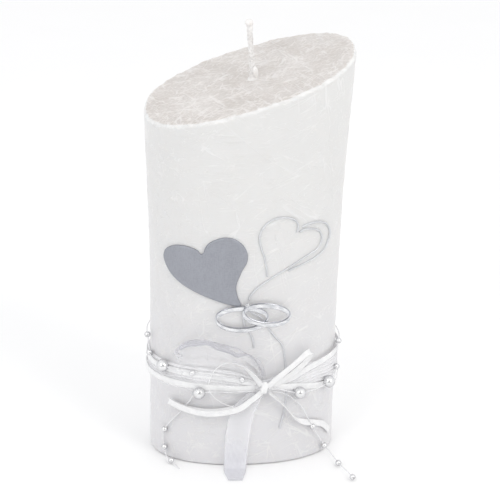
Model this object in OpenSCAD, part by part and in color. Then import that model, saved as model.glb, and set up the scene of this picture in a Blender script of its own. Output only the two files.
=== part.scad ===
// Oval wedding candle with a slanted top, a pair of hearts, a pair of rings,
// a bow of sheer and satin ribbon, and a garland of pearls tied round its foot.
// Millimetres. Origin at the centre of the base, +X to the right, front at -Y, +Z up.

/* [Candle] */
// Width of the oval body at its base
candle_w = 90; // [80:1:110]
// Depth of the oval body at its base
candle_d = 60; // [52:1:75]
// Height of the slanted top at its middle
candle_h = 185; // [165:1:230]
// Squareness of the oval, where 2 is a true ellipse
oval_power = 2.24; // [2:0.02:2.6]
// Rise of the top for each millimetre to the right
slope_right = 0.304; // [0.1:0.002:0.4]
// Rise of the top for each millimetre towards the back
slope_back = 0.168; // [0:0.002:0.3]
// How much wider the body grows over the next 100 mm above flare_from
flare = 0.057; // [0:0.001:0.08]
// Height at which the body starts to widen
flare_from = 60; // [50:1:100]
// Thickness of the crystalline outer wax
coat_t = 1.8; // [1:0.1:3]
// Rounding of the top rim
rim_r = 3.2; // [1:0.1:4]
// Rounding of the bottom edge
foot_r = 1.4; // [0.5:0.1:1.6]

/* [Wick] */
// Diameter of the braided wick
wick_d = 2.4; // [1.5:0.1:3]
// Length of the wick above the wax
wick_out = 26; // [10:1:35]
// Lean of the wick to the left, in degrees
wick_lean = 5; // [0:1:15]
// Diameter of the wax drop on the wick's tip
drop_d = 4; // [3:0.1:6]

/* [Decoration] */
// Thickness of the silver wax sheet of the solid heart
heart_t = 0.9; // [0.5:0.1:1.5]
// Width of the wax strips of the outline heart and stems
strip_w = 1; // [0.8:0.1:2]
// Thickness of the wax strips
strip_t = 0.8; // [0.5:0.1:1.2]
// Width of the left wedding ring, seen from the front
ring_w = 24.4; // [18:0.2:28]
// Height of the left wedding ring, seen from the front
ring_h = 13.2; // [9:0.1:16]
// Width of the smaller right wedding ring, seen from the front
small_ring_w = 22; // [16:0.2:26]
// Height of the smaller right wedding ring, seen from the front
small_ring_h = 11.8; // [8:0.1:15]
// Width of the rings' band
ring_band = 2; // [1.2:0.1:2.6]

/* [Ribbons and garland] */
// Width of the satin ribbon
satin_w = 3; // [3:0.5:4]
// Thickness of the satin ribbon
satin_t = 0.3; // [0.2:0.05:0.5]
// Thickness of the sheer ribbon, with its gathers
sheer_t = 0.5; // [0.3:0.1:0.6]
// Width of the gathered sheer ribbon round the candle
sheer_wrap_w = 12; // [6:1:14]
// Diameter of the large pearls
pearl_big_d = 6; // [5:0.5:7]
// Diameter of the small pearls
pearl_small_d = 3; // [2.5:0.5:4]
// Diameter of the garland's nylon thread
thread_d = 0.5; // [0.4:0.1:0.6]

/* [Hidden] */

oval_steps = 64;      // sides of the body's outline
thread_sides = 8;
wax_white = [0.94, 0.93, 0.91];
silver = [0.66, 0.67, 0.70];
satin_white = [0.96, 0.96, 0.95];
sheer_white = [0.90, 0.90, 0.92, 0.5];
pearl_white = [0.93, 0.92, 0.90];

// Foot of the wick on the slanted top, and the parts in the base
wick_x = 2.4;
wick_y = -1.3;
bore_gap = 0.05;      // between the wick and the wax
plug_r = 15;
plug_h = 2.6;
clip_r = 9.5;
clip_t = 0.3;
clip_neck_r = 1.7;
clip_neck_h = 9;

// Routes on the wall are [s, z, off, twist, width]: s runs round the base's outline from
// the middle of the front, positive to the right, z is the height and off is the distance
// in front of the wall. Short routes leave the last entries out.
solid_heart_outline = [
    [-23.2, 109], [-25.5, 110.8], [-29.5, 112.1], [-34, 112], [-37.5, 110.3], [-39.5, 107.5],
    [-39.8, 103.5], [-37.5, 98], [-33, 93.4], [-26, 89.6], [-18, 86.5], [-11, 84.3],
    [-5, 83.4], [-6.5, 88], [-7.3, 93.5], [-5, 100.5], [-2.5, 105.5], [-2.4, 110],
    [-4.6, 114.3], [-8.5, 117.2], [-13, 117.9], [-17.5, 116.4], [-21, 113.7]
];
heart_left_route = [
    [20.4, 118.8], [21, 121.5], [20.4, 124], [18, 126], [14.5, 126.9], [11, 126.8],
    [7.5, 125.4], [4.8, 122.8], [3.3, 119.5], [3.1, 116], [4, 112], [5.3, 108],
    [6.4, 103], [7, 97.8]
];
heart_inner_route = [
    [21.6, 118.8], [24, 119.8], [27.5, 119.6], [30.5, 118.8], [33, 117], [34.2, 113.8],
    [33.3, 110.6], [31, 108.5], [27.5, 107], [21.5, 104], [16.5, 101.2], [12, 98.8],
    [7.5, 96], [2.2, 92], [-0.8, 88.2], [-1.3, 86]
];
heart_outer_route = [
    [23, 121.3], [25, 122], [28, 122.5], [32, 122.2], [36.2, 120.6], [39, 117],
    [39.3, 114], [38, 110.5], [36.5, 108.2], [34.6, 106.5], [31.5, 105], [28.8, 104],
    [26, 103], [22.8, 102], [19.5, 101], [16.8, 100]
];
stem_left_route = [[-3.9, 81], [-3.9, 78.5], [-3.2, 74], [-0.5, 69.5], [1, 66], [1.5, 62]];
stem_right_route = [
    [-1.8, 82], [0.5, 80], [5, 77], [8, 72], [11.5, 67], [15, 62.5], [16.4, 56],
    [17.2, 47], [17.8, 37], [17, 28], [15.8, 23], [14.8, 18.5]
];
ring_left_at = [-4.4, 77.3];
ring_right_at = [6.9, 79.4];
ring_left_turn = 1;
ring_right_turn = -9;
rhinestone_at = [-2.1, 84.7, 2.2];

// The back of each wrap is written for a body of this outline length, and stretched to fit
nominal_half = 121.4;
satin_upper_route = [
    [-121.4, 49], [-95, 48.5], [-55, 48.3], [-35, 48.2], [-16, 47.7], [-4, 45.5], [8, 42.8],
    [19, 45], [29.5, 49], [46, 51.5], [70, 51.5], [95, 50], [121.4, 49]
];
satin_lower_route = [
    [-121.4, 41], [-95, 41.5], [-51, 42.2], [-26.5, 42], [-9, 41.8], [6, 41.5], [19, 41],
    [36, 38], [47.5, 36.8], [70, 38], [95, 40], [121.4, 41]
];
sheer_wrap_route = [
    [-121.4, 45], [-95, 45], [-55, 45.5], [-30, 45.5], [-12, 44.8], [6, 42.2], [20, 44],
    [32, 45.5], [48, 45], [70, 45], [95, 45], [121.4, 45]
];
garland_route = [
    [-121.4, 58, 0.6], [-95, 59.5, 0.6], [-72, 60.5, 0.9], [-56, 59.6, 2.2],
    [-54.5, 55.5, 2.2], [-53, 51.6, 2.2], [-41.5, 49.7, 3.2], [-27, 48.9, 2.2],
    [-4, 46.6, 2.2], [7, 43.5, 2.4], [23.5, 37.5, 3.2], [40, 38.7, 3.2],
    [48.5, 42.8, 2.2], [48.5, 49, 2.2], [50.5, 55.5, 2.2], [72, 57.5, 0.9],
    [95, 58, 0.6], [121.4, 58, 0.6]
];
large_pearl_stops = [6, 10, 11];
small_pearl_stops = [3, 5, 7, 8, 12, 14];

// Free ends of the garland, from the bow down to the surface the candle stands on
tail_left_route = [
    [4, 40.5, 2.4], [-8, 40.3, 2.6], [-23.5, 39.3, 3.2], [-29, 33, 2.2], [-33.5, 26.5, 1.6],
    [-38, 21, 1.7], [-41.5, 15.5, 1.8], [-42.5, 10.5, 1.8], [-41.5, 6, 1.9], [-39.5, 2.5, 3],
    [-36, 1.6, 4.5], [-33, 0.9, 6.5], [-30.5, 0.5, 8.5]
];
tail_left_big_stops = [2];
tail_left_stops = [6, 8, 10];
tail_right_route = [
    [8, 39.8, 2.4], [16, 38, 2.4], [24, 31, 2], [28.5, 23, 1.8], [31.7, 17, 1.8],
    [36, 10, 1.8], [39.7, 4, 2], [39.6, 2.2, 4.8], [38, 1.6, 9], [35.5, 1.6, 16],
    [34, 1.6, 23.5], [32.8, 1.6, 31]
];
tail_right_stops = [4, 6, 9, 11];

satin_loop_left_route = [
    [5.2, 40.6, 4, 0], [-1, 36, 5.4, 0], [-7, 32.2, 5.8, 0], [-19.5, 29.6, 5.2, 0],
    [-31, 30.4, 3.8, 0], [-38.4, 31.6, 2.4, 0], [-37, 30.6, 1.2, 0], [-30, 29.2, 1, 0],
    [-18, 29, 1.1, 0], [-7, 31.5, 1.4, 0], [2.5, 38, 2, 0]
];
satin_loop_right_route = [
    [7.6, 43, 4, 0], [14, 49.5, 5.2, 0], [20, 54.5, 5.6, 0], [25.5, 58.2, 4.6, 0],
    [28.2, 57.5, 3.4, 0], [27, 53.8, 2.8, 0], [21, 48.6, 2.6, 0], [15, 45, 2.5, 0], [8.6, 41.8, 2.4, 0]
];
satin_tail_route = [
    [8.6, 40, 3.4, 15], [12.5, 36, 3.6, 10], [16, 32, 3.4, 10], [22, 24, 2.6, 20],
    [26.5, 21, 2.2, 55], [33, 18.5, 1.4, 80], [39, 15.6, 1, 90], [45.6, 9.5, 0.8, 90]
];
satin_curl_route = [
    [5, 43.6, 4.4, 60], [1, 50, 7, 40], [-4.5, 56.5, 9.6, 10], [-11, 58.8, 10.4, 0],
    [-16, 54.8, 10.4, 0], [-18.5, 47, 9.6, 0], [-17.2, 41.7, 8.8, 0], [-13.7, 37.7, 8, 0],
    [-8, 34.8, 7.6, 0]
];
sheer_loop_route = [
    [4.5, 46, 2.6, 0, 7], [-1, 52.5, 5.2, 0, 16], [-10, 56, 7.6, 0, 21],
    [-19, 58.5, 7.8, 0, 23.5], [-27, 57.5, 5.8, 0, 22], [-32.5, 53.5, 3.4, 0, 12],
    [-29, 56, 1.3, 0, 18], [-18, 57, 1.1, 0, 19], [-6, 54, 1.1, 0, 15], [2.5, 47.5, 1.3, 0, 8]
];
sheer_tail_route = [
    [4, 39.5, 2.2, 0, 5], [0, 35.5, 2.6, 0, 9], [-3.5, 30, 2.2, 0, 11.5],
    [-5.5, 20, 1.5, 0, 12], [-6.4, 10, 1.5, 0, 12], [-6.8, 3.5, 2, 0, 11.5],
    [-7, 0.9, 4, 0, 11.2], [-7.2, 0.35, 8, 0, 10.5], [-7.2, 0.35, 15.5, 0, 7]
];
knot_at = [6, 42];

function power(v, e) = sign(v) * pow(abs(v), e);
function unit(v) = v / norm(v);

// The base outline at angle t, and the outward direction there
function oval(t) = [
    candle_w / 2 * power(cos(t), 2 / oval_power),
    candle_d / 2 * power(sin(t), 2 / oval_power)
];
function outward(t) = unit([
    power(cos(t), 2 - 2 / oval_power) / candle_w,
    power(sin(t), 2 - 2 / oval_power) / candle_d
]);
function widening(z) = 1 + flare * pow(max(z - flare_from, 0) / 100, 2);
function top_at(p) = candle_h + slope_right * p[0] + slope_back * p[1];

// A point at angle t and height z, off millimetres in front of the wall
function body_point(t, z, off) =
    let (p = oval(t) * widening(z) + outward(t) * off) [p[0], p[1], z];

// Height at which the wall meets the slanted top, settled in a few rounds
function rim_height(t, off, z = 185, rounds = 5) =
    rounds == 0 ? z : rim_height(t, off, top_at(body_point(t, z, off)), rounds - 1);

// Length of the outline from the front, against degrees turned from the front
arc_steps = 180;
arc_table = [
    for (i = 0, s = 0; i <= arc_steps;
         s = s + norm(oval(i - 89) - oval(i - 90)), i = i + 1) [s, i]
];
half_round = arc_table[arc_steps][0];
function angle_at(s) = -90 + sign(s) * lookup(abs(s), arc_table);
function wall(s, z, off = 0) = body_point(angle_at(s), z, off);
function wall_out(s) = let (o = outward(angle_at(s))) [o[0], o[1], 0];

// A smooth curve through points of any number of entries
function spline(a, b, c, d, t) = 0.5 * (
    2 * b + (c - a) * t + (2 * a - 5 * b + 4 * c - d) * t * t
    + (3 * b - a - 3 * c + d) * t * t * t
);
function curve(p, steps) = let (n = len(p)) concat(
    [for (i = [0 : n - 2]) for (j = [0 : steps - 1])
        spline(p[max(i - 1, 0)], p[i], p[i + 1], p[min(i + 2, n - 1)], j / steps)],
    [p[n - 1]]
);
function closed_curve(p, steps) = let (n = len(p)) [
    for (i = [0 : n - 1]) for (j = [0 : steps - 1])
        spline(p[(i + n - 1) % n], p[i], p[(i + 1) % n], p[(i + 2) % n], j / steps)
];
// A wrap's route, stretched to the outline and open at the back by its repeated point
function wrap(route, steps) = let (
    c = curve([for (r = route) [r[0] * half_round / nominal_half, r[1],
                                is_undef(r[2]) ? 0 : r[2]]], steps)
) [for (i = [0 : len(c) - 2]) c[i]];

// A closed skin over rings of points, with end caps, or joined end to end
module skin(rings, looped = false) {
    n = len(rings[0]);
    m = len(rings);
    last = looped ? m - 1 : m - 2;
    sides = [
        for (j = [0 : last]) for (i = [0 : n - 1])
            let (a = j * n, b = ((j + 1) % m) * n, k = (i + 1) % n)
                each [[a + i, a + k, b + k], [a + i, b + k, b + i]]
    ];
    caps = looped ? [] : [[for (i = [n - 1 : -1 : 0]) i], [for (i = [0 : n - 1]) (m - 1) * n + i]];
    polyhedron([for (r = rings) each r], [for (f = concat(sides, caps)) [for (i = [len(f) - 1 : -1 : 0]) f[i]]],
               convexity = 10);
}

function heading(p, i, looped) = let (n = len(p)) unit(
    looped ? p[(i + 1) % n] - p[(i + n - 1) % n] : p[min(i + 1, n - 1)] - p[max(i - 1, 0)]
);
// The section's first entries run along up, turned by twist about the heading
function section_ring(p, t, up, twist, section) = let (
    u = unit(up - (up * t) * t), v = cross(t, u),
    a = u * cos(twist) + v * sin(twist), b = v * cos(twist) - u * sin(twist)
) [for (q = section) p + a * q[0] + b * q[1]];

function flat_section(w, t) = [[-w / 2, -t / 2], [w / 2, -t / 2], [w / 2, t / 2], [-w / 2, t / 2]];
function raised_section(w, t) = [[0, -w / 2], [t, -w / 2], [t, w / 2], [0, w / 2]];
function round_section(d) = [
    for (i = [0 : thread_sides - 1]) d / 2 * [cos(i * 360 / thread_sides), sin(i * 360 / thread_sides)]
];

// A band of wax or cloth lying on the wall
module wall_band(route, w, t, off = 0, looped = false) {
    p = [for (r = route) wall(r[0], r[1], off)];
    skin([for (i = [0 : len(p) - 1])
        section_ring(p[i], heading(p, i, looped), wall_out(route[i][0]), 0, raised_section(w, t))],
        looped);
}

// A ribbon in the air, its width along up; with no up, a twist of 0 stands it on edge
// against the wall and 90 lays it flat
module ribbon(route, t, up = undef) {
    p = [for (r = route) wall(r[0], r[1], r[2])];
    skin([for (i = [0 : len(p) - 1])
        section_ring(p[i], heading(p, i, false), is_undef(up) ? wall_out(route[i][0]) : up,
                     route[i][3], flat_section(route[i][4], t))]);
}
function satin(route) = [for (r = curve(route, 5)) concat(r, satin_w)];

module thread(route, looped = false) {
    p = [for (r = route) wall(r[0], r[1], r[2])];
    skin([for (i = [0 : len(p) - 1])
        section_ring(p[i], heading(p, i, looped), [0, 0.3, 1], 0, round_section(thread_d))], looped);
}

// Turns +Z to the given direction
module point_along(dir) {
    rotate([0, acos(dir[2] / norm(dir)), atan2(dir[1], dir[0])]) children();
}
pearl_bore_d = thread_d + 0.3;

// Pearls of one size at the numbered stops of a route, bored for the thread
module pearls(route, stops, d) {
    p = [for (r = route) wall(r[0], r[1], r[2])];
    for (i = stops)
        translate(p[i]) point_along(p[min(i + 1, len(p) - 1)] - p[max(i - 1, 0)])
            difference() {
                sphere(d = d, $fn = 48);
                cylinder(d = pearl_bore_d, h = d + 2, center = true, $fn = 24);
            }
}

// The oval body, shrunk by inset all round and at the top
module body_solid(inset, low, foot) {
    r = max(rim_r - inset, 0.8);
    angles = [for (i = [0 : oval_steps - 1]) i * 360 / oval_steps];
    foot_rings = foot == 0
        ? [[for (t = angles) body_point(t, low, -inset)]]
        : [for (a = [0, 30, 60]) [for (t = angles)
            body_point(t, foot * (1 - sin(a)), -inset - foot * (1 - cos(90 - a)))]];
    wall_rings = [
        for (f = [0.08, 0.3, 0.45, 0.6, 0.75, 0.9, 1])
            [for (t = angles) body_point(t, (rim_height(t, -inset) - inset - r) * f, -inset)]
    ];
    rim_rings = [
        for (a = [30, 60, 90]) [for (t = angles)
            let (q = body_point(t, rim_height(t, -inset), -inset - r * (1 - cos(a))))
                [q[0], q[1], top_at(q) - inset - r * (1 - sin(a))]]
    ];
    skin(concat(foot_rings, wall_rings, rim_rings));
}

wick_foot_z = top_at([wick_x, wick_y]);
module at_wick(z = 0) { translate([wick_x, wick_y, z]) children(); }
module at_wick_top(along = 0) {
    at_wick(wick_foot_z) rotate([0, -wick_lean, 0]) translate([0, 0, along]) children();
}

module wax_core() {
    color(wax_white) difference() {
        body_solid(coat_t, 0, 0);
        at_wick(-1) cylinder(d = wick_d + 2 * bore_gap, h = candle_h + 20, $fn = 48);
        at_wick(-1) cylinder(r = plug_r, h = plug_h + clip_t + 1, $fn = 96);
        at_wick(-1) cylinder(r = clip_neck_r + bore_gap, h = plug_h + clip_t + clip_neck_h + 1, $fn = 48);
    }
}

module wax_coat() {
    color(wax_white) difference() {
        body_solid(0, 0, foot_r);
        body_solid(coat_t, -2, 0);
        at_wick(candle_h - 20) cylinder(d = wick_d + 2 * bore_gap, h = 40, $fn = 48);
    }
}

module wick() {
    color("ivory") union() {
        at_wick(plug_h) cylinder(d = wick_d, h = wick_foot_z - plug_h, $fn = 48);
        at_wick_top(-1) cylinder(d = wick_d, h = wick_out + 1, $fn = 48);
    }
}

module wick_drop() {
    color("ivory") difference() {
        at_wick_top(wick_out + 0.4) scale([1, 1, 0.92]) sphere(d = drop_d, $fn = 48);
        at_wick_top() cylinder(d = wick_d, h = wick_out, $fn = 48);
    }
}

// Wax that set round the foot of the wick
module wick_fillet() {
    color(wax_white) difference() {
        at_wick(wick_foot_z) point_along([-slope_right, -slope_back, 1])
            cylinder(r1 = 3.2, r2 = 1.8, h = 2.4, $fn = 48);
        at_wick_top(-5) cylinder(d = wick_d + 2 * bore_gap, h = 12, $fn = 48);
    }
}

module wick_clip() {
    color(silver) difference() {
        union() {
            at_wick(plug_h) cylinder(r = clip_r, h = clip_t, $fn = 64);
            at_wick(plug_h) cylinder(r = clip_neck_r, h = clip_t + clip_neck_h, $fn = 48);
        }
        at_wick(plug_h - 1) cylinder(d = wick_d, h = clip_neck_h + 3, $fn = 48);
    }
}

module base_plug() {
    color(wax_white) at_wick() cylinder(r = plug_r, h = plug_h, $fn = 96);
}

// A flat shape in x and z, laid on the wall as a sheet of the given thickness
module wall_sheet(outline, t) {
    intersection() {
        rotate([90, 0, 0]) linear_extrude(candle_d) polygon(outline);
        difference() {
            body_solid(-t, 0, 0);
            body_solid(0, -1, 0);
        }
    }
}

module solid_heart() {
    color(silver) wall_sheet(closed_curve(solid_heart_outline, 4), heart_t);
}
module heart_left_line() {
    color(silver) wall_band(curve(heart_left_route, 4), strip_w, strip_t);
}
module heart_inner_line() {
    color(silver) wall_band(curve(heart_inner_route, 4), strip_w, strip_t);
}
module heart_outer_line() {
    color(silver) wall_band(curve(heart_outer_route, 4), strip_w, strip_t);
}
module stem_left() {
    color(silver) wall_band(curve(stem_left_route, 4), strip_w, strip_t);
}
module stem_right() {
    color(silver) wall_band(curve(stem_right_route, 4), strip_w, strip_t);
}
module rhinestone() {
    color("white") translate(wall(rhinestone_at[0], rhinestone_at[1], rhinestone_at[2]))
        point_along(wall_out(rhinestone_at[0])) cylinder(r1 = 1.1, r2 = 0.7, h = 0.9, $fn = 24);
}

// A wedding ring as a raised oval, set at the given turn
module wedding_ring(at, turn, w, h, off) {
    steps = 44;
    rx = (w - ring_band) / 2;
    rz = (h - ring_band) / 2;
    route = [for (i = [0 : steps - 1])
        let (a = i * 360 / steps, x = rx * cos(a), z = rz * sin(a))
            [at[0] + x * cos(turn) - z * sin(turn), at[1] + x * sin(turn) + z * cos(turn)]];
    wall_band(route, ring_band, 1, off, true);
}
module ring_left() { color(silver) wedding_ring(ring_left_at, ring_left_turn, ring_w, ring_h, 0.85); }
module ring_right() {
    color(silver) wedding_ring(ring_right_at, ring_right_turn, small_ring_w, small_ring_h, 1.9);
}

module sheer_wrap() {
    color(sheer_white) wall_band(wrap(sheer_wrap_route, 5), sheer_wrap_w, sheer_t, 0.1, true);
}
module sheer_loop() { color(sheer_white) ribbon(curve(sheer_loop_route, 4), sheer_t, [0, 0, 1]); }
module sheer_tail() { color(sheer_white) ribbon(curve(sheer_tail_route, 4), sheer_t, [1, 0, 0]); }
module sheer_knot() {
    color(sheer_white) translate(wall(knot_at[0], knot_at[1], 2.2))
        point_along(wall_out(knot_at[0])) scale([1.25, 1, 0.55]) sphere(r = 3.4, $fn = 32);
}

module satin_wrap_upper() {
    color(satin_white) wall_band(wrap(satin_upper_route, 5), satin_w, satin_t, 0.7, true);
}
module satin_wrap_lower() {
    color(satin_white) wall_band(wrap(satin_lower_route, 5), satin_w, satin_t, 1.1, true);
}
module satin_loop_left() { color(satin_white) ribbon(satin(satin_loop_left_route), satin_t, [0.2, 0, 1]); }
module satin_loop_right() {
    color(satin_white) ribbon(satin(satin_loop_right_route), satin_t, [-0.75, -0.2, 1]);
}
module satin_tail() { color(satin_white) ribbon(satin(satin_tail_route), satin_t); }
module satin_curl() { color(satin_white) ribbon(satin(satin_curl_route), satin_t, [-0.1, -0.9, 0.45]); }
module satin_knot() {
    color(satin_white) translate(wall(knot_at[0], knot_at[1], 4.6))
        point_along(wall_out(knot_at[0])) scale([1, 0.8, 0.5]) sphere(r = 2.2, $fn = 32);
}

module garland_thread() { color(pearl_white) thread(wrap(garland_route, 5), true); }
module pearls_large() { color(pearl_white) pearls(garland_route, large_pearl_stops, pearl_big_d); }
module pearls_small() { color(pearl_white) pearls(garland_route, small_pearl_stops, pearl_small_d); }

module thread_tail_left() { color(pearl_white) thread(curve(tail_left_route, 4)); }
module pearls_tail_left() {
    color(pearl_white) {
        pearls(tail_left_route, tail_left_big_stops, pearl_big_d);
        pearls(tail_left_route, tail_left_stops, pearl_small_d);
    }
}
module thread_tail_right() { color(pearl_white) thread(curve(tail_right_route, 4)); }
module pearls_tail_right() {
    color(pearl_white) pearls(tail_right_route, tail_right_stops, pearl_small_d);
}

wax_core();
wax_coat();
wick();
wick_drop();
wick_fillet();
wick_clip();
base_plug();
solid_heart();
heart_left_line();
heart_inner_line();
heart_outer_line();
stem_left();
stem_right();
rhinestone();
ring_left();
ring_right();
sheer_wrap();
sheer_loop();
sheer_tail();
sheer_knot();
satin_wrap_upper();
satin_wrap_lower();
satin_loop_left();
satin_loop_right();
satin_tail();
satin_curl();
satin_knot();
garland_thread();
pearls_large();
pearls_small();
thread_tail_left();
pearls_tail_left();
thread_tail_right();
pearls_tail_right();
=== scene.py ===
"""Looks of the oval wedding candle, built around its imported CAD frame. Metres, Z up."""

from math import asin, cos, pi, radians, sin, tan

import bpy
import numpy as np
from mathutils import Matrix, Vector, noise
from mathutils.geometry import delaunay_2d_cdt


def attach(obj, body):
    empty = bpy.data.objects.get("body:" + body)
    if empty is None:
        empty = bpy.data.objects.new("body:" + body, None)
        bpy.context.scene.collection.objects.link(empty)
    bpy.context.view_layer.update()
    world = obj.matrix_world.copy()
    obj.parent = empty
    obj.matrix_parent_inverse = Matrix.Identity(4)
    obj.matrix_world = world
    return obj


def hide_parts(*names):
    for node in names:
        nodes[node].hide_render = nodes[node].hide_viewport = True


MM = 0.001
BODY = "root"
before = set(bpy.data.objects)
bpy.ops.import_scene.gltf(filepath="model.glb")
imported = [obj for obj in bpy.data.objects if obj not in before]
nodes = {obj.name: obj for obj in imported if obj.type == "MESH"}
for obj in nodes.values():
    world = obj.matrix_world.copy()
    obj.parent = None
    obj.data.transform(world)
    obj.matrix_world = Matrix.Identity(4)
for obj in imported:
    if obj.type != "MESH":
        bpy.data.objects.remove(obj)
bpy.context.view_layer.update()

# ---- the candle's wall
# The outline comes from the CAD coat's straight lower part. Routes below start with
# (s, z) or (s, z, off) in millimetres: s runs round the outline from the middle of the front,
# positive to the right, z is the height and off the distance in front of the wall.
coat_mm = np.array([v.co for v in nodes["wax_coat"].data.vertices]) / MM
lower = coat_mm[coat_mm[:, 2] < 55]
HALF_W, HALF_D = lower[:, 0].max(), lower[:, 1].max()
OVAL_POWER = 2.24
FLARE, FLARE_FROM = 0.057, 60.0
TOP_H, SLOPE_RIGHT, SLOPE_BACK = 185.0, 0.304, 0.168
WICK_X, WICK_Y = 2.4, -1.3


def unit(v):
    return v / np.maximum(np.linalg.norm(v, axis=-1, keepdims=True), 1e-12)


def along(p):
    """Length in mm from the start to each point."""
    return np.concatenate([[0], np.cumsum(np.linalg.norm(np.diff(p, axis=0), axis=1))])


def powered(v, e):
    return np.sign(v) * np.abs(v) ** e


def outline(t):
    """The base outline's points and outward directions at angles t, front at -90 degrees."""
    c, s = np.cos(t), np.sin(t)
    p = np.stack([HALF_W * powered(c, 2 / OVAL_POWER), HALF_D * powered(s, 2 / OVAL_POWER)], -1)
    n = np.stack([powered(c, 2 - 2 / OVAL_POWER) / HALF_W, powered(s, 2 - 2 / OVAL_POWER) / HALF_D], -1)
    return p, unit(n)


QUARTER = 1800             # steps per quarter turn in the table from length to angle
_turn = np.linspace(-pi, pi, 4 * QUARTER + 1)
_ring = outline(_turn - pi / 2)[0]
_length = along(_ring)
_length -= _length[2 * QUARTER]
HALF_ROUND = _length[-1]


def widening(z):
    return 1 + FLARE * (np.maximum(z - FLARE_FROM, 0) / 100) ** 2


def wall(s, z, off=0.0):
    """Points of the wall, in millimetres, and the outward directions there."""
    s, z, off = np.broadcast_arrays(*(np.asarray(a, float) for a in (s, z, off)))
    p, n = outline(np.interp(s, _length, _turn) - pi / 2)
    xy = p * widening(z)[..., None] + n * off[..., None]
    return np.concatenate([xy, z[..., None]], -1), np.concatenate([n, 0 * z[..., None]], -1)


def wall_over(x, z, off=0.0):
    """Points of the wall's front at the given x instead of the given s."""
    front = slice(QUARTER, 3 * QUARTER + 1)
    return wall(np.interp(x / widening(z), _ring[front, 0], _length[front]), z, off)


def axes_at(s, z, off=0.0):
    """One point of the wall, with the directions to its right, up and out of it."""
    (at,), (out,) = wall([s], [z], [off])
    return at, np.cross([0, 0, 1], out), np.array([0.0, 0, 1]), out


def wall_path(r):
    """Points in mm along rows of (s, z, off); later entries are left out."""
    return wall(r[:, 0], r[:, 1], r[:, 2])[0]


def top_z(x, y):
    return TOP_H + SLOPE_RIGHT * x + SLOPE_BACK * y


WICK_FOOT = np.array([WICK_X, WICK_Y, top_z(WICK_X, WICK_Y)])


# ---- mesh tools
def add_object(name, data):
    obj = bpy.data.objects.new(name, data)
    bpy.context.scene.collection.objects.link(obj)
    return obj


def make_mesh(name, points_mm, faces, node, slot, material, smooth=True):
    """A piece of the candle that stands in for one CAD node."""
    mesh = bpy.data.meshes.new(name)
    mesh.from_pydata((np.asarray(points_mm) * MM).tolist(), [], faces)
    mesh.validate()
    mesh.polygons.foreach_set("use_smooth", [smooth] * len(mesh.polygons))
    mesh.materials.append(material)
    obj = add_object(name, mesh)
    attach(obj, BODY)
    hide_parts(node)
    return obj


def add_place(obj, values):
    """A vector at each point that the materials read, such as the place on a ribbon in mm."""
    layer = obj.data.attributes.new("place", "FLOAT_VECTOR", "POINT")
    layer.data.foreach_set("vector", np.asarray(values, float).ravel())


def grid_faces(rows, cols, around=False, looped=False):
    """Quads between rows of points. around joins a row's ends, looped the last row to the first."""
    faces = []
    for j in range(rows if looped else rows - 1):
        for i in range(cols if around else cols - 1):
            a, b, k = j * cols, ((j + 1) % rows) * cols, (i + 1) % cols
            faces.append([a + i, a + k, b + k, b + i])
    return faces


def spline(points, steps, closed=False):
    """A smooth curve through points of any number of entries."""
    p = np.asarray(points, float)
    n = len(p)
    t = np.arange(steps)[:, None] / steps
    out = []
    for i in range(n if closed else n - 1):
        if closed:
            a, b, c, d = p[i - 1], p[i], p[(i + 1) % n], p[(i + 2) % n]
        else:
            a, b, c, d = p[max(i - 1, 0)], p[i], p[i + 1], p[min(i + 2, n - 1)]
        out.append(0.5 * (2 * b + (c - a) * t + (2 * a - 5 * b + 4 * c - d) * t**2
                          + (3 * b - a - 3 * c + d) * t**3))
    return np.concatenate(out + ([] if closed else [p[-1:]]))


def headings(p, looped=False):
    if looped:
        return unit(np.roll(p, -1, 0) - np.roll(p, 1, 0))
    q = np.concatenate([p[:1], p, p[-1:]])
    return unit(q[2:] - q[:-2])


def circle(n):
    """n angles round a full turn."""
    return np.arange(n) * 2 * pi / n


def swung(a, u, v):
    """u turned towards v by the angles a."""
    return u * np.cos(a)[:, None] + v * np.sin(a)[:, None]


def frames(p, ups, twists, looped=False):
    """Two directions across each heading: the first is up turned by twist degrees."""
    t = headings(p, looped)
    ups = np.broadcast_to(np.asarray(ups, float), p.shape)
    u = unit(ups - (ups * t).sum(1, keepdims=True) * t)
    v = np.cross(t, u)
    a = np.radians(np.broadcast_to(twists, len(p)))
    return swung(a, u, v), swung(a, v, -u)


def fuzz(x, y, z=0.0, scale=1.0, seed=0):
    """Smooth noise from -1 to 1, the same each run."""
    shift = 17.3 * seed
    x, y, z = np.broadcast_arrays(x, y, z)
    return np.array([
        noise.noise(Vector((a * scale + shift, b * scale, c * scale)))
        for a, b, c in zip(x.ravel(), y.ravel(), z.ravel())
    ]).reshape(x.shape)


def joined(shapes):
    """Several (points, faces) shapes as one."""
    points, faces = [], []
    for q, f in shapes:
        start = sum(map(len, points))
        faces += [[k + start for k in face] for face in f]
        points.append(np.asarray(q, float).reshape(-1, 3))
    return np.concatenate(points), faces


def ring_shape(rings, looped=False):
    """A closed skin over rings of points, capped unless it is looped."""
    m, n = len(rings), len(rings[0])
    faces = grid_faces(m, n, around=True, looped=looped)
    if not looped:
        faces += [list(range(n))[::-1], [(m - 1) * n + i for i in range(n)]]
    return np.asarray(rings).reshape(-1, 3), faces


def tube_shape(p, radius, sides, looped=False, ups=(0, 0.3, 1)):
    """A round tube with domed ends along points in mm."""
    radii = np.full(len(p), radius)
    if not looped:
        t = headings(p)
        p = np.concatenate([[p[0] - t[0] * radius * 0.6], p, [p[-1] + t[-1] * radius * 0.6]])
        radii = np.concatenate([[radius * 0.55], radii, [radius * 0.55]])
    u, v = frames(p, ups, 0.0, looped)
    rings = p[:, None] + radii[:, None, None] * swung(circle(sides), u[:, None], v[:, None])
    return ring_shape(rings, looped)


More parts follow.
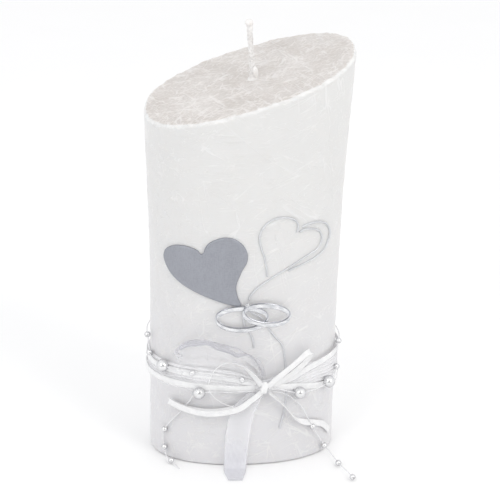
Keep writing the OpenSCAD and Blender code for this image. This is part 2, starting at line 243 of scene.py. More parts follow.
def lump_shape(centre, axes, uneven, size, seed, rows=24, cols=36):
    """A ball stretched along three axes in mm, uneven by a share of its radius."""
    la = np.linspace(0, pi, rows + 1)[1:-1, None]
    lo = circle(cols)[None]
    d = np.stack([np.sin(la) * np.cos(lo), np.sin(la) * np.sin(lo), np.cos(la) + 0 * lo], -1)
    d = np.concatenate([d.reshape(-1, 3), [[0, 0, 1], [0, 0, -1]]])
    d = d * (1 + uneven * fuzz(d[:, 0], d[:, 1], d[:, 2], size, seed))[:, None]
    n = (rows - 1) * cols
    faces = grid_faces(rows - 1, cols, around=True)
    for i in range(cols):
        k = (i + 1) % cols
        faces += [[n, k, i], [n + 1, n - cols + i, n - cols + k]]
    return centre + d @ np.asarray(axes, float), faces


def cloth_band(name, node, p, across, face, section, thick, cols, slot, material, looped=False):
    """A closed strip of cloth along p. section(u, v) gives how far each point lies to the side
    and how far it lifts, in mm, with u along in mm and v from -1 to 1 over the cut width."""
    v = np.linspace(-1, 1, cols)
    u_mm = along(p)
    side, lift = section(u_mm[:, None] + 0 * v[None], v[None] + 0 * u_mm[:, None])
    d_side, d_lift = np.gradient(side, axis=1), np.gradient(lift, axis=1)
    size = np.maximum(np.hypot(d_side, d_lift), 1e-9)
    out = face[:, None] * (d_side / size)[..., None] - across[:, None] * (d_lift / size)[..., None]
    mid = p[:, None] + across[:, None] * side[..., None] + face[:, None] * lift[..., None]
    rings = np.concatenate([mid + out * (thick / 2), (mid - out * (thick / 2))[:, ::-1]], axis=1)
    n = 2 * cols
    faces = grid_faces(len(p), n, around=True, looped=looped)
    if not looped:
        for j, turned in ((0, True), (len(p) - 1, False)):
            for i in range(cols - 1):
                q = [j * n + i, j * n + i + 1, j * n + n - 2 - i, j * n + n - 1 - i]
                faces.append(q[::-1] if turned else q)
    obj = make_mesh(name, rings.reshape(-1, 3), faces, node, slot, material)
    place = np.zeros((len(p), n, 3))
    place[..., 0] = u_mm[:, None]
    arc = np.cumsum(size, axis=1)
    place[..., 1] = np.concatenate([arc, arc[:, ::-1]], axis=1)
    place[..., 2] = np.concatenate([v, v[::-1]])[None]
    add_place(obj, place)
    return obj


# ---- materials
class Nodes:
    """Short ways to add nodes to a tree."""

    def __init__(self, tree):
        self.tree = tree

    def set(self, node, inputs):
        for key, value in inputs.items():
            socket = node.inputs[key]
            if isinstance(value, bpy.types.NodeSocket):
                self.tree.links.new(value, socket)
            else:
                socket.default_value = value

    def add(self, kind, inputs=None, out=0, **settings):
        node = self.tree.nodes.new("ShaderNode" + kind)
        for key, value in settings.items():
            setattr(node, key, value)
        self.set(node, inputs or {})
        return node.outputs[out]

    def position(self):
        """The place on the object, in millimetres."""
        here = self.add("TexCoord", out="Object")
        return self.add("VectorMath", {0: here, 3: 1000.0}, operation="SCALE")

    def place(self):
        return self.add("Attribute", out="Vector", attribute_name="place")

    def math(self, operation, a, b=0.0, c=0.0):
        return self.add("Math", {0: a, 1: b, 2: c}, operation=operation)

    def noise(self, at, size, detail=2.0, roughness=0.5):
        return self.add("TexNoise", {"Vector": at, "Scale": 1 / size, "Detail": detail,
                                     "Roughness": roughness})

    def grain(self, at, turn, sizes, detail=2.0, roughness=0.5):
        """Noise in cells of the given sizes in mm, turned by Euler angles in degrees."""
        cell = self.add("Mapping", {"Vector": at, "Rotation": [radians(a) for a in turn],
                                    "Scale": sizes}, vector_type="TEXTURE")
        return self.noise(cell, 1.0, detail, roughness)

    def ramp(self, value, low, high, to_low=0.0, to_high=1.0):
        return self.add("MapRange", {"Value": value, "From Min": low, "From Max": high,
                                     "To Min": to_low, "To Max": to_high},
                        interpolation_type="SMOOTHSTEP")

    def blend(self, factor, a, b):
        a, b = ((*c, 1) if isinstance(c, tuple) else c for c in (a, b))
        return self.add("Mix", {0: factor, 6: a, 7: b}, out=2, data_type="RGBA")

    def scaled(self, value, factor, added):
        return self.math("MULTIPLY_ADD", value, factor, added)

    def mean(self, a, b):
        return self.math("MULTIPLY", self.math("ADD", a, b), 0.5)

    def entry(self, vector, i):
        return self.add("SeparateXYZ", {0: vector}, out=i)


class Graph(Nodes):
    """A material with one Principled shader."""

    def __init__(self, name, color, roughness, **inputs):
        self.material = bpy.data.materials.new(name)
        self.material.use_nodes = True
        super().__init__(self.material.node_tree)
        self.bsdf = self.tree.nodes["Principled BSDF"]
        self.look(Base_Color=(*color, 1), Roughness=roughness, **inputs)

    def look(self, **inputs):
        """Sets the shader, with an underscore for each space in an input's name."""
        self.set(self.bsdf, {key.replace("_", " "): value for key, value in inputs.items()})

    def bump(self, height, depth_mm, strength=1.0):
        self.look(Normal=self.add("Bump", {"Height": height, "Strength": strength,
                                           "Distance": depth_mm * MM}))


def crystal_lines(g, at, turn, sizes, width):
    """Long thin curved lines, where stretched noise crosses its middle, kept only in patches."""
    field = g.grain(at, turn, sizes, 1.6, 0.4)
    line = g.ramp(g.math("ABSOLUTE", g.math("SUBTRACT", field, 0.5)), 0.0, width, 1.0, 0.0)
    patch = g.ramp(g.grain(at, turn, [s * 1.5 for s in sizes]), 0.50, 0.68)
    return g.math("MULTIPLY", line, patch)


# Turns and stretches (mm) of the wax's families of crystal lines, and their widths
SIDE_CRYSTALS = [
    ((12, 38, 5), (60, 6.0, 5.0), 0.022),
    ((-8, -48, 12), (50, 5.4, 4.6), 0.022),
    ((15, 3, -10), (70, 5.0, 4.5), 0.020),
    ((30, 76, 20), (44, 5.4, 4.8), 0.018),
    ((-5, -22, 10), (40, 1.5, 1.5), 0.050),
    ((5, 2, -8), (36, 1.3, 1.3), 0.050),
]
TOP_CRYSTALS = [
    ((5, 0, 18), (34, 3.2, 3.2), 0.08),
    ((0, 5, 58), (24, 2.8, 2.8), 0.07),
    ((8, 0, -24), (30, 2.4, 2.4), 0.09),
    ((0, -5, -70), (20, 2.4, 2.4), 0.07),
    ((0, 8, 4), (26, 1.5, 1.5), 0.09),
]


def wax_material(name, shade, light, crystals, levels, line_share, grain_share, bump_mm):
    """Pearl-white crystalline wax: light crystal lines over a slightly darker, cloudy ground that is painted
    cooler and darker towards the foot as shade, and whiter along the rim, partly chipped wax and partly a
    painted highlight. levels are the tones that read as shade and light."""
    g = Graph(name, shade, 0.42, Subsurface_Weight=0.3, Subsurface_Scale=0.004,
              Subsurface_Radius=(1.0, 0.9, 0.82), Coat_Weight=0.16, Coat_Roughness=0.3, IOR=1.44)
    at = g.position()
    total = None
    for turn, sizes, width in crystals:
        lines = crystal_lines(g, at, turn, sizes, width)
        total = lines if total is None else g.math("MAXIMUM", total, lines)
    fine = g.grain(at, (8, 28, 0), (7.0, 0.9, 0.9), 4.0, 0.6)
    cross = g.grain(at, (-12, -50, 10), (6.0, 0.8, 0.8), 4.0, 0.6)
    grain = g.mean(fine, cross)
    cloud = g.noise(at, 15.0, 4.0, 0.6)
    ground = g.scaled(grain, grain_share, g.math("MULTIPLY", cloud, 0.5))
    tone = g.scaled(total, line_share, ground)
    rim = g.entry(g.place(), 0)
    flakes = g.grain(at, (0, 12, 8), (9.0, 2.2, 2.2), 3.0, 0.6)
    # whiter along the rim: partly chipped wax, partly a painted highlight where the rounded edge catches the
    # light
    chips_and_rim_highlight = g.ramp(g.scaled(flakes, 1.9, rim), 1.6, 2.2, 0.0, 0.7)
    # painted shade: the ground turns a little cooler and darker towards the foot, where less light falls
    height = g.ramp(g.entry(at, 2), 15.0, 150.0)
    foot_shade_tone = tuple(c * k for c, k in zip(shade, (0.985, 0.98, 1.015)))
    color = g.blend(g.ramp(tone, *levels), g.blend(height, foot_shade_tone, shade), light)
    g.look(Base_Color=g.blend(chips_and_rim_highlight, color, (0.87, 0.865, 0.86)),
           Roughness=g.ramp(tone, 0.3, 1.1, 0.5, 0.3))
    g.bump(g.scaled(total, 0.8, g.math("MULTIPLY", grain, 0.8)), bump_mm)
    return g.material


def silver_material(name, color, roughness, grain_mm, bump_mm, metallic):
    """Silver foil over wax: a fine woven grain that breaks up the shine."""
    g = Graph(name, color, roughness, Metallic=metallic)
    at = g.position()
    weave = g.mean(*(g.grain(at, (0, turn, 0), (grain_mm * 5, grain_mm, grain_mm)) for turn in (0, 90)))
    cloud = g.noise(at, 9.0, 2.0)
    dark = tuple(c * 0.86 for c in color)
    tone = g.ramp(g.scaled(cloud, 0.2, weave), 0.42, 0.76)
    g.look(Base_Color=g.blend(tone, dark, tuple(c * 1.05 for c in color)),
           Roughness=g.ramp(weave, 0.3, 0.7, roughness - 0.08, roughness + 0.12))
    g.bump(weave, bump_mm)
    return g.material


def chrome_material():
    """Polished ring metal: its roughness cloudy with fingermarks, its colour mottled and darker where the
    band rolls over as painted reflection.
    """
    g = Graph("polished_ring", (0.66, 0.67, 0.70), 0.12, Metallic=0.9)
    at = g.position()
    scratch = g.grain(at, (0, 4, 0), (9.0, 0.12, 0.12))
    smears_and_reflection_mottle = g.grain(at, (0, 10, 0), (4.0, 1.0, 1.0), 3.0)
    across = g.math("ABSOLUTE", g.entry(g.place(), 2))
    # painted dark reflection where the band rolls over at its edges
    edge = g.ramp(g.scaled(smears_and_reflection_mottle, 1.1, across), 1.0, 1.6)
    # painted reflection: the colour is mottled into brighter and duller patches
    face = g.blend(g.ramp(smears_and_reflection_mottle, 0.35, 0.68), (0.56, 0.57, 0.60), (0.84, 0.845, 0.86))
    g.look(Base_Color=g.blend(edge, face, (0.40, 0.41, 0.45)),
           Roughness=g.ramp(g.scaled(scratch, 0.4, smears_and_reflection_mottle), 0.5, 1.0, 0.08, 0.26))
    g.bump(scratch, 0.01, 0.4)
    return g.material


def satin_material():
    """Tightly woven satin: fine ribs, long floats across the ribbon and a few slubs."""
    g = Graph("satin_cloth", (0.78, 0.78, 0.79), 0.34, Sheen_Weight=0.12, Sheen_Roughness=0.3,
              Coat_Weight=0.25, Coat_Roughness=0.22, Specular_IOR_Level=0.65)
    u, v = (g.entry(g.place(), i) for i in range(2))
    ribs = g.math("SINE", g.math("MULTIPLY", u, 2 * pi / 0.28))
    floats = g.noise(g.add("CombineXYZ", {0: u, 1: g.math("MULTIPLY", v, 0.25)}), 0.16, 2.0)
    slub = g.noise(g.add("CombineXYZ", {0: u, 1: v}), 3.0, 2.0)
    tone = g.ramp(g.scaled(floats, 0.6, g.math("MULTIPLY", slub, 0.6)), 0.35, 0.8)
    g.look(Base_Color=g.blend(tone, (0.76, 0.76, 0.775), (0.88, 0.88, 0.88)),
           Roughness=g.ramp(floats, 0.3, 0.7, 0.26, 0.42))
    g.bump(g.scaled(ribs, 0.15, floats), 0.03)
    return g.material


def organza_material(name, open_share, color, rolled_edge_shade=None, end=None):
    """Sheer organza: a plain weave of fine stiff threads with light coming between them.
    hem is the painted shade along the rolled upper edge, and end how far along, in mm, it turns denser and is
    painted greyer as shade."""
    g = Graph(name, color, 0.4, Sheen_Weight=0.2, Sheen_Roughness=0.35, Specular_IOR_Level=0.6)
    u, v, edge = (g.entry(g.place(), i) for i in range(3))
    warp, weft = (g.math("ABSOLUTE", g.math("SINE", g.math("MULTIPLY", k, pi / 0.32))) for k in (v, u))
    threads = g.math("MAXIMUM", warp, weft)
    uneven = g.noise(g.add("CombineXYZ", {0: u, 1: g.math("MULTIPLY", v, 3.0)}), 4.0, 3.0)
    solid = g.ramp(g.scaled(uneven, 0.35, threads), 0.72, 1.2,
                   1 - open_share - 0.08, 1 - open_share + 0.12)
    selvedge = g.ramp(g.math("ABSOLUTE", edge), 0.95, 0.975)
    solid = g.math("MAXIMUM", solid, g.math("MULTIPLY", selvedge, 0.45))
    if rolled_edge_shade:
        rolled = g.ramp(g.scaled(uneven, 0.3, edge), 0.70, 1.15)
        solid = g.math("MAXIMUM", solid, g.math("MULTIPLY", rolled, 0.26))
        # painted shade: the rolled upper edge is greyer, where the folded layers lie over one another
        g.look(Base_Color=g.blend(rolled, color, rolled_edge_shade))
    if end:
        dense_shaded_end = g.ramp(g.scaled(uneven, 6.0, u), end - 8, end + 8)
        solid = g.scaled(dense_shaded_end, 0.3, solid)
        # past end the folded tail turns denser, and is painted greyer there as shade
        g.look(Base_Color=g.blend(dense_shaded_end, color, (0.76, 0.76, 0.80)))
    g.look(Alpha=solid)
    g.bump(threads, 0.05, 0.7)
    return g.material


def pearl_material():
    """Moulded imitation pearl: pale silvery lacquer with a milky bloom under a hard gloss, painted darker
    towards its rim as seen, as a dark reflection.
    """
    g = Graph("pearl_lacquer", (0.80, 0.80, 0.81), 0.2, Metallic=0.75, Coat_Weight=1.0,
              Coat_Roughness=0.04, IOR=1.5)
    at = g.position()
    bloom = g.noise(at, 2.2, 3.0)
    # painted dark reflection: the colour darkens where the surface turns away from view
    facing = g.add("LayerWeight", {"Blend": 0.35}, out="Facing")
    tone = g.ramp(g.scaled(facing, 0.9, g.math("MULTIPLY", bloom, 0.35)), 0.1, 1.0)
    g.look(Base_Color=g.blend(tone, (0.84, 0.84, 0.845), (0.34, 0.34, 0.37)),
           Roughness=g.ramp(bloom, 0.3, 0.7, 0.14, 0.26))
    g.bump(g.noise(at, 0.5, 2.0), 0.01, 0.5)
    return g.material


def nylon_material():
    """Milky nylon line."""
    g = Graph("nylon_line", (0.86, 0.86, 0.87), 0.25, Specular_IOR_Level=0.7, Coat_Weight=0.4)
    at = g.position()
    g.look(Base_Color=g.blend(g.noise(at, 1.5, 2.0), (0.66, 0.66, 0.68), (0.90, 0.90, 0.91)))
    g.bump(g.noise(at, 0.3, 2.0), 0.02, 0.5)
    return g.material


def wick_material():
    """Braided cotton soaked in wax: fine threads lying askew under a glossy skin."""
    g = Graph("waxed_cotton", (0.88, 0.85, 0.82), 0.36, Subsurface_Weight=0.15, Subsurface_Scale=0.0008,
              Subsurface_Radius=(1.0, 0.95, 0.9), Coat_Weight=0.3, Coat_Roughness=0.25)
    at = g.position()
    weave = g.mean(*(g.grain(at, (0, turn, 0), (2.5, 0.16, 0.16), 3.0) for turn in (62, -62)))
    stain = g.noise(at, 4.0, 2.0)
    tone = g.ramp(g.scaled(weave, 0.6, g.math("MULTIPLY", stain, 0.5)), 0.35, 0.75)
    g.look(Base_Color=g.blend(tone, (0.74, 0.715, 0.70), (0.90, 0.89, 0.88)))
    g.bump(weave, 0.08)
    return g.material


def stone_material():
    """Clear cut glass with the odd smear."""
    g = Graph("cut_stone", (0.97, 0.98, 1.0), 0.02, Transmission_Weight=0.75, IOR=1.6, Coat_Weight=1.0,
              Coat_Roughness=0.02)
    g.look(Roughness=g.ramp(g.noise(g.position(), 0.5, 2.0), 0.3, 0.7, 0.01, 0.05))
    return g.material


def tin_material():
    """Tinned sheet, brushed one way."""
    g = Graph("tinned_holder", (0.70, 0.70, 0.71), 0.3, Metallic=1.0)
    brushed = g.grain(g.position(), (0, 0, 25), (8.0, 0.2, 0.2), 3.0)
    g.look(Roughness=g.ramp(brushed, 0.3, 0.7, 0.22, 0.42))
    g.bump(brushed, 0.02)
    return g.material


def core_material():
    """Matt poured paraffin, cloudy and pitted."""
    g = Graph("poured_wax", (0.88, 0.87, 0.84), 0.55, Subsurface_Weight=0.2, Subsurface_Scale=0.004,
              Subsurface_Radius=(1.0, 0.9, 0.8))
    at = g.position()
    pits = g.ramp(g.add("TexVoronoi", {"Vector": at, "Scale": 0.35}), 0.0, 0.35)
    cloud = g.noise(at, 9.0, 4.0)
    g.look(Base_Color=g.blend(cloud, (0.84, 0.825, 0.79), (0.91, 0.90, 0.875)))
    g.bump(g.scaled(pits, 0.3, cloud), 0.25)
    return g.material


COAT = wax_material("crystal_wax", (0.715, 0.71, 0.702), (0.785, 0.78, 0.775), SIDE_CRYSTALS,
                    (0.30, 1.0), 0.5, 0.3, 0.12)
TOP = wax_material("crystal_wax_top", (0.54, 0.50, 0.47), (0.78, 0.75, 0.73), TOP_CRYSTALS,
                   (0.44, 1.10), 0.3, 0.9, 0.2)
CORE = core_material()
WICK = wick_material()
TIN = tin_material()
HEART = silver_material("silver_sheet", (0.36, 0.372, 0.412), 0.5, 0.4, 0.03, 0.7)
STRIP = silver_material("silver_strip", (0.66, 0.67, 0.69), 0.36, 0.3, 0.015, 0.42)
STEM = silver_material("silver_stem_strip", (0.66, 0.665, 0.69), 0.4, 0.3, 0.015, 0.25)
CHROME = chrome_material()
SATIN = satin_material()
# the loop's rolled edge tone and the tail's greyer end below are painted shade
ORGANZA = organza_material("organza_cloth", 0.93, (0.93, 0.93, 0.95), rolled_edge_shade=(0.62, 0.62, 0.67))
ORGANZA_TAIL = organza_material("organza_cloth_tail", 0.86, (0.93, 0.93, 0.96), end=38)
ORGANZA_GATHERED = organza_material("organza_cloth_gathered", 0.5, (0.93, 0.93, 0.945))
ORGANZA_KNOT = organza_material("organza_bundle", 0.35, (0.86, 0.86, 0.88))
PEARL = pearl_material()
NYLON = nylon_material()
STONE = stone_material()


# ---- camera and light
CAMERA_DISTANCE = 1.0      # from the centre of the base
CAMERA_AZIMUTH = -7.22     # degrees round from the front, to the left
CAMERA_HEIGHT = 26.70      # degrees above the floor
CAMERA_DIP = 21.37         # degrees below level that it looks
CAMERA_PAN = 0.17          # degrees to the right of the base's centre
CAMERA_ROLL = 1.09         # degrees
LAMP_DISTANCE = 1.5
FLOOR_HALF, FLOOR_GAP = 6.0, 0.0002


def make_camera():
    data = bpy.data.cameras.new("camera")
    data.lens, data.sensor_width = 144.5, 36
    data.clip_start, data.clip_end = 0.05, 20
    cam = add_object("camera", data)
    azimuth, height, dip, pan, roll = (radians(a) for a in (
        CAMERA_AZIMUTH, CAMERA_HEIGHT, CAMERA_DIP, CAMERA_PAN, CAMERA_ROLL))
    back = Vector((0, -cos(height), sin(height)))
    cam.location = Matrix.Rotation(azimuth, 3, "Z") @ back * CAMERA_DISTANCE
    cam.rotation_mode = "QUATERNION"
    cam.rotation_quaternion = (
        Matrix.Rotation(azimuth - pan, 3, "Z") @ Matrix.Rotation(pi / 2 - dip, 3, "X")
        @ Matrix.Rotation(roll, 3, "Z")).to_quaternion()
    bpy.context.scene.camera = cam


def softbox(name, azimuth, height, power, color=(1, 1, 1)):
    """A lamp that faces the candle's middle, with its azimuth from the front to the right."""
    light = bpy.data.lights.new(name, "AREA")
    light.shape, light.size, light.size_y = "RECTANGLE", 0.5, 0.8
    light.energy, light.color = power, color
    obj = add_object(name, light)
    a, e = radians(azimuth), radians(height)
    back = Vector((sin(a) * cos(e), -cos(a) * cos(e), sin(e)))
    obj.location = Vector((0, 0, 0.1)) + back * LAMP_DISTANCE
    obj.rotation_mode = "QUATERNION"
    obj.rotation_quaternion = (-back).to_track_quat("-Z", "Y")


def make_world():
    """An even white room, dimmer in front of the candle so that metal has something to mirror."""
    world = bpy.data.worlds.new("studio")
    bpy.context.scene.world = world
    world.use_nodes = True
    g = Nodes(world.node_tree)
    towards = g.add("VectorMath", {0: g.add("TexCoord", out="Generated"), 1: (-0.12, -0.97, 0.21)},
                    out="Value", operation="DOT_PRODUCT")
    g.set(g.tree.nodes["Background"], {"Color": (0.99, 0.992, 1.0, 1),
                                       "Strength": g.ramp(towards, 0.70, 0.96, 1.03, 0.40)})


def make_studio():
    g = Graph("studio_floor", (0.95, 0.95, 0.95), 0.7)
    cloud = g.noise(g.position(), 60.0, 3.0)
    g.look(Base_Color=g.blend(cloud, (0.945, 0.945, 0.945), (0.96, 0.96, 0.96)))
    mesh = bpy.data.meshes.new("floor")
    corners = ((-1, -1), (1, -1), (1, 1), (-1, 1))
    mesh.from_pydata([(x * FLOOR_HALF, y * FLOOR_HALF, 0) for x, y in corners], [], [[0, 1, 2, 3]])
    mesh.materials.append(g.material)
    floor = add_object("floor", mesh)
    floor.location.z = -FLOOR_GAP
    make_world()
    softbox("key_left", -36, 32, 3.6)
    softbox("key_right", 36, 34, 4.2, (1, 0.98, 0.94))
    view = bpy.context.scene.view_settings
    view.view_transform, view.look, view.exposure = "Standard", "None", 0.0


make_camera()
make_studio()

# ---- garland
THREAD_R, BORE_R = 0.25, 0.42
BIG_R, SMALL_R = 3.0, 1.5
GARLAND = [
    (-121.4, 58, 0.6), (-95, 59.5, 0.6), (-72, 60.5, 0.9), (-56, 59.6, 2.2),
    (-54.5, 55.5, 2.2), (-53, 51.6, 2.2), (-41.5, 49.7, 3.2), (-27, 48.9, 2.2),
    (-4, 46.6, 2.2), (7, 43.5, 2.4), (23.5, 37.5, 3.2), (40, 38.7, 3.2),
    (48.5, 42.8, 2.2), (48.5, 49, 2.2), (50.5, 55.5, 2.2), (72, 57.5, 0.9),
    (95, 58, 0.6), (121.4, 58, 0.6),
]
LARGE_STOPS, SMALL_STOPS = (6, 10, 11), (3, 5, 7, 8, 12, 14)
TAIL_LEFT = [
    (4, 40.5, 2.4), (-8, 40.3, 2.6), (-23.5, 39.3, 3.2), (-29, 33, 2.2), (-33.5, 26.5, 1.6),
    (-38, 21, 1.7), (-41.5, 15.5, 1.8), (-42.5, 10.5, 1.8), (-41.5, 6, 1.9), (-39.5, 2.5, 3),
    (-36, 1.6, 4.5), (-33, 0.9, 6.5), (-30.5, 0.5, 8.5),
]
TAIL_RIGHT = [
    (8, 39.8, 2.4), (16, 38, 2.4), (24, 31, 2), (28.5, 23, 1.8), (31.7, 17, 1.8),
    (36, 10, 1.8), (39.7, 4, 2), (39.6, 2.2, 4.8), (38, 1.6, 9), (35.5, 1.6, 16),
    (34, 1.6, 23.5), (32.8, 1.6, 31),
]


def pearl_mesh(radius, seed):
    """A moulded pearl round its thread: a barely uneven ball with a mould seam and drawn-in holes."""
    rows, cols = (30, 36) if radius == BIG_R else (20, 24)
    low = asin(BORE_R / radius)
    lat = np.linspace(low, pi - low, rows)
    la, lo = np.meshgrid(lat, circle(cols), indexing="ij")
    r = radius * (1 - 0.01 * np.exp(-((la - pi / 2) / 0.05) ** 2))
    r = r * (1 + 0.012 * fuzz(np.cos(lo) * np.sin(la), np.sin(lo) * np.sin(la), np.cos(la), 1.4, seed))
    p = np.stack([r * np.sin(la) * np.cos(lo), r * np.sin(la) * np.sin(lo), r * np.cos(la)], -1)
    ends = []
    for row, inward in ((0, -0.35), (-1, 0.35)):
        end = p[row] * [0.75, 0.75, 1]
        end[:, 2] += inward
        ends.append(end[None])
    return ring_shape(np.concatenate([ends[0], p, ends[1]]), looped=True)


def pearls(name, node, route, stops):
    """Pearls threaded on a route, each at one of its points and turned to follow it."""
    p = wall_path(np.array(route, float))
    shapes = []
    for i, radius in stops:
        heading = Vector(p[min(i + 1, len(p) - 1)] - p[max(i - 1, 0)])
        turn = np.array(heading.to_track_quat("Z", "Y").to_matrix())
        q, f = pearl_mesh(radius, i)
        shapes.append((q @ turn.T + p[i], f))
    return make_mesh(name, *joined(shapes), node, "pearl", PEARL)


def thread(name, node, p, looped=False):
    return make_mesh(name, *tube_shape(p, THREAD_R, 10, looped), node, "nylon", NYLON)


def garland_tail(side, route, stops):
    """A free end of the garland: a cord, with its pearls on it."""
    name = "garland_end_" + side
    p = wall_path(spline(route, 8))
    line = thread(name, "thread_tail_" + side, p)
    beads = pearls(name + "_pearls", "pearls_tail_" + side, route, stops)


garland_tail("left", TAIL_LEFT, [(2, BIG_R), (6, SMALL_R), (8, SMALL_R), (10, SMALL_R)])
garland_tail("right", TAIL_RIGHT, [(i, SMALL_R) for i in (4, 6, 9, 11)])
thread("garland_line", "garland_thread", wall_path(spline(GARLAND, 8)[:-1]), looped=True)
pearls("garland_pearls_large", "pearls_large", GARLAND, [(i, BIG_R) for i in LARGE_STOPS])
pearls("garland_pearls_small", "pearls_small", GARLAND, [(i, SMALL_R) for i in SMALL_STOPS])

# ---- wax body
RIM_R, FOOT_R, COAT_T = 2.0, 1.4, 1.8
WALL_COLS, FOOT_ROWS, WALL_ROWS, RIM_ROWS, TOP_ROWS = 320, 5, 190, 10, 44
WICK_HOLE_R = 1.3


def rim_height(s):
    """Where the wall meets the slanted top, found in a few rounds as the wall widens upwards."""
    z = np.full(np.shape(s), TOP_H)
    for _ in range(6):
        p = wall(s, z)[0]
        z = top_z(p[..., 0], p[..., 1])
    return z


def relief(p, near_rim):
    """How far the cast wax stands off its true shape, in mm: slow waves, crystal ridges, chips."""
    x, y, z = p[..., 0], p[..., 1], p[..., 2]
    waves = 0.42 * fuzz(x, y, z * 0.6, 0.028, 1) + 0.2 * fuzz(x, y, z, 0.075, 2)
    ridges = 0.0
    for k, (turn, _, _) in enumerate(SIDE_CRYSTALS[:4]):
        a = radians(turn[1])
        run, rise = x * cos(a) + z * sin(a), z * cos(a) - x * sin(a)
        sharp = 1 - np.abs(fuzz(run * 0.16, rise, y * 0.8, 0.34, 5 + k)) * 4
        ridges = ridges + 0.09 * np.maximum(sharp, 0) * np.maximum(fuzz(x, y, z, 0.05, 11 + k), 0) * 2
    chips = 0.55 * near_rim * fuzz(x, y, z, 0.22, 21) + 0.3 * near_rim * fuzz(x, y, z, 0.55, 22)
    return waves + ridges + chips


def make_coat():
    """The coat's skin from its foot up and over to the wick's hole, and back down its inside."""
    s = np.linspace(-HALF_ROUND, HALF_ROUND, WALL_COLS + 1)[:-1]
    rim = rim_height(s)
    rows = []              # each with its share of chips, and of the whitening along the rim: chipped wax and a painted highlight
    for a in np.linspace(0, pi / 2, FOOT_ROWS):
        rows.append((wall(s, FOOT_R * (1 - cos(a)), -FOOT_R * (1 - sin(a)))[0], 0.0, 0.0))
    for f in np.linspace(0, 1, WALL_ROWS)[1:]:
        rows.append((wall(s, FOOT_R + (rim - RIM_R - FOOT_R) * f)[0], 0.0, 0.45 if f > 0.997 else 0.0))
    for a in np.linspace(0, pi / 2, RIM_ROWS)[1:]:
        p = wall(s, rim, -RIM_R * (1 - cos(a)))[0]
        p[:, 2] = top_z(p[:, 0], p[:, 1]) - RIM_R * (1 - sin(a))
        rows.append((p, sin(2 * a) ** 0.5 if a < 1.5 else 0.3, 0.45 + 0.55 * sin(2 * a)))
    edge = rows[-1][0]
    for f in np.linspace(0, 1, TOP_ROWS)[1:] ** 0.9:
        around = unit((edge - WICK_FOOT)[:, :2]) * WICK_HOLE_R
        p = edge.copy()
        p[:, :2] = edge[:, :2] * (1 - f) + (WICK_FOOT[:2] + around) * f
        p[:, 2] = top_z(p[:, 0], p[:, 1])
        rows.append((p, 0.3 * max(0, 1 - f * 9), max(0, 0.45 - f * 8)))
    grid, chips, rim_whitening = (np.array(entry) for entry in zip(*rows))
    du = np.roll(grid, -1, 1) - np.roll(grid, 1, 1)
    dv = np.concatenate([grid[1:2] - grid[:1], grid[2:] - grid[:-2], grid[-1:] - grid[-2:-1]])
    lift = relief(grid, chips[:, None] * np.ones(WALL_COLS))
    calm = np.minimum(1, np.maximum(grid[..., 2], 0) / 4)
    calm = calm * np.clip((np.linalg.norm(grid - WICK_FOOT, axis=-1) - 1.2) / 5, 0, 1)
    grid = grid + unit(np.cross(du, dv)) * (lift * calm)[..., None]
    grid[..., 2] = np.maximum(grid[..., 2], 0.0)
    inner = [wall(s, (rim - COAT_T) * f, -COAT_T)[0] for f in np.linspace(0, 1, 13)]
    rings = np.array([inner[0], *grid, grid[-1] - [0, 0, COAT_T], *inner[:0:-1]])
    coat = make_mesh("crystal_wax_coat", *ring_shape(rings, looped=True), "wax_coat", "coat_wax", COAT)
    coat.data.materials.append(TOP)
    place = np.zeros(rings.shape)
    place[1:1 + len(grid), :, 0] = rim_whitening[:, None]
    add_place(coat, place)
    first_top = FOOT_ROWS + WALL_ROWS + RIM_ROWS // 2
    for j, face in enumerate(coat.data.polygons):
        face.material_index = int(first_top <= j // WALL_COLS <= len(grid))


make_coat()

# ---- wick, core and holder
WICK_R, WICK_OUT, WICK_LEAN = 1.2, 26.0, 5.0
DROP_R, PLUG_H = 2.0, 2.6
BRAID_PITCH = 8.5
_lean = radians(WICK_LEAN)
WICK_UP = np.array([-sin(_lean), 0, cos(_lean)])
WICK_SIDE = np.array([cos(_lean), 0, sin(_lean)])
WICK_BACK = np.array([0.0, 1.0, 0.0])


def braided_wick():
    """Cotton braid: four threads wound each way over a core that goes on down to the seal."""
    inside = np.linspace([WICK_X, WICK_Y, PLUG_H], WICK_FOOT - [0, 0, 1], 12)
    t = np.linspace(0, WICK_OUT, 140)
    inner = WICK_FOOT + t[:, None] * WICK_UP
    shapes = [tube_shape(np.concatenate([inside, inner]), WICK_R * 0.82, 20, ups=(0, 1, 0))]
    turns = 2 * pi * t / BRAID_PITCH
    for way in (-1, 1):
        for k in range(4):
            a = way * (turns + k * pi / 2 + 0.4)
            r = WICK_R * (0.80 + 0.07 * np.sin(4 * turns + k * pi + way))
            p = inner + r[:, None] * swung(a, WICK_SIDE, WICK_BACK)
            shapes.append(tube_shape(p, 0.31 * WICK_R, 10, ups=(0, 1, 0)))
    make_mesh("braided_wick", *joined(shapes), "wick", "waxed_wick", WICK)


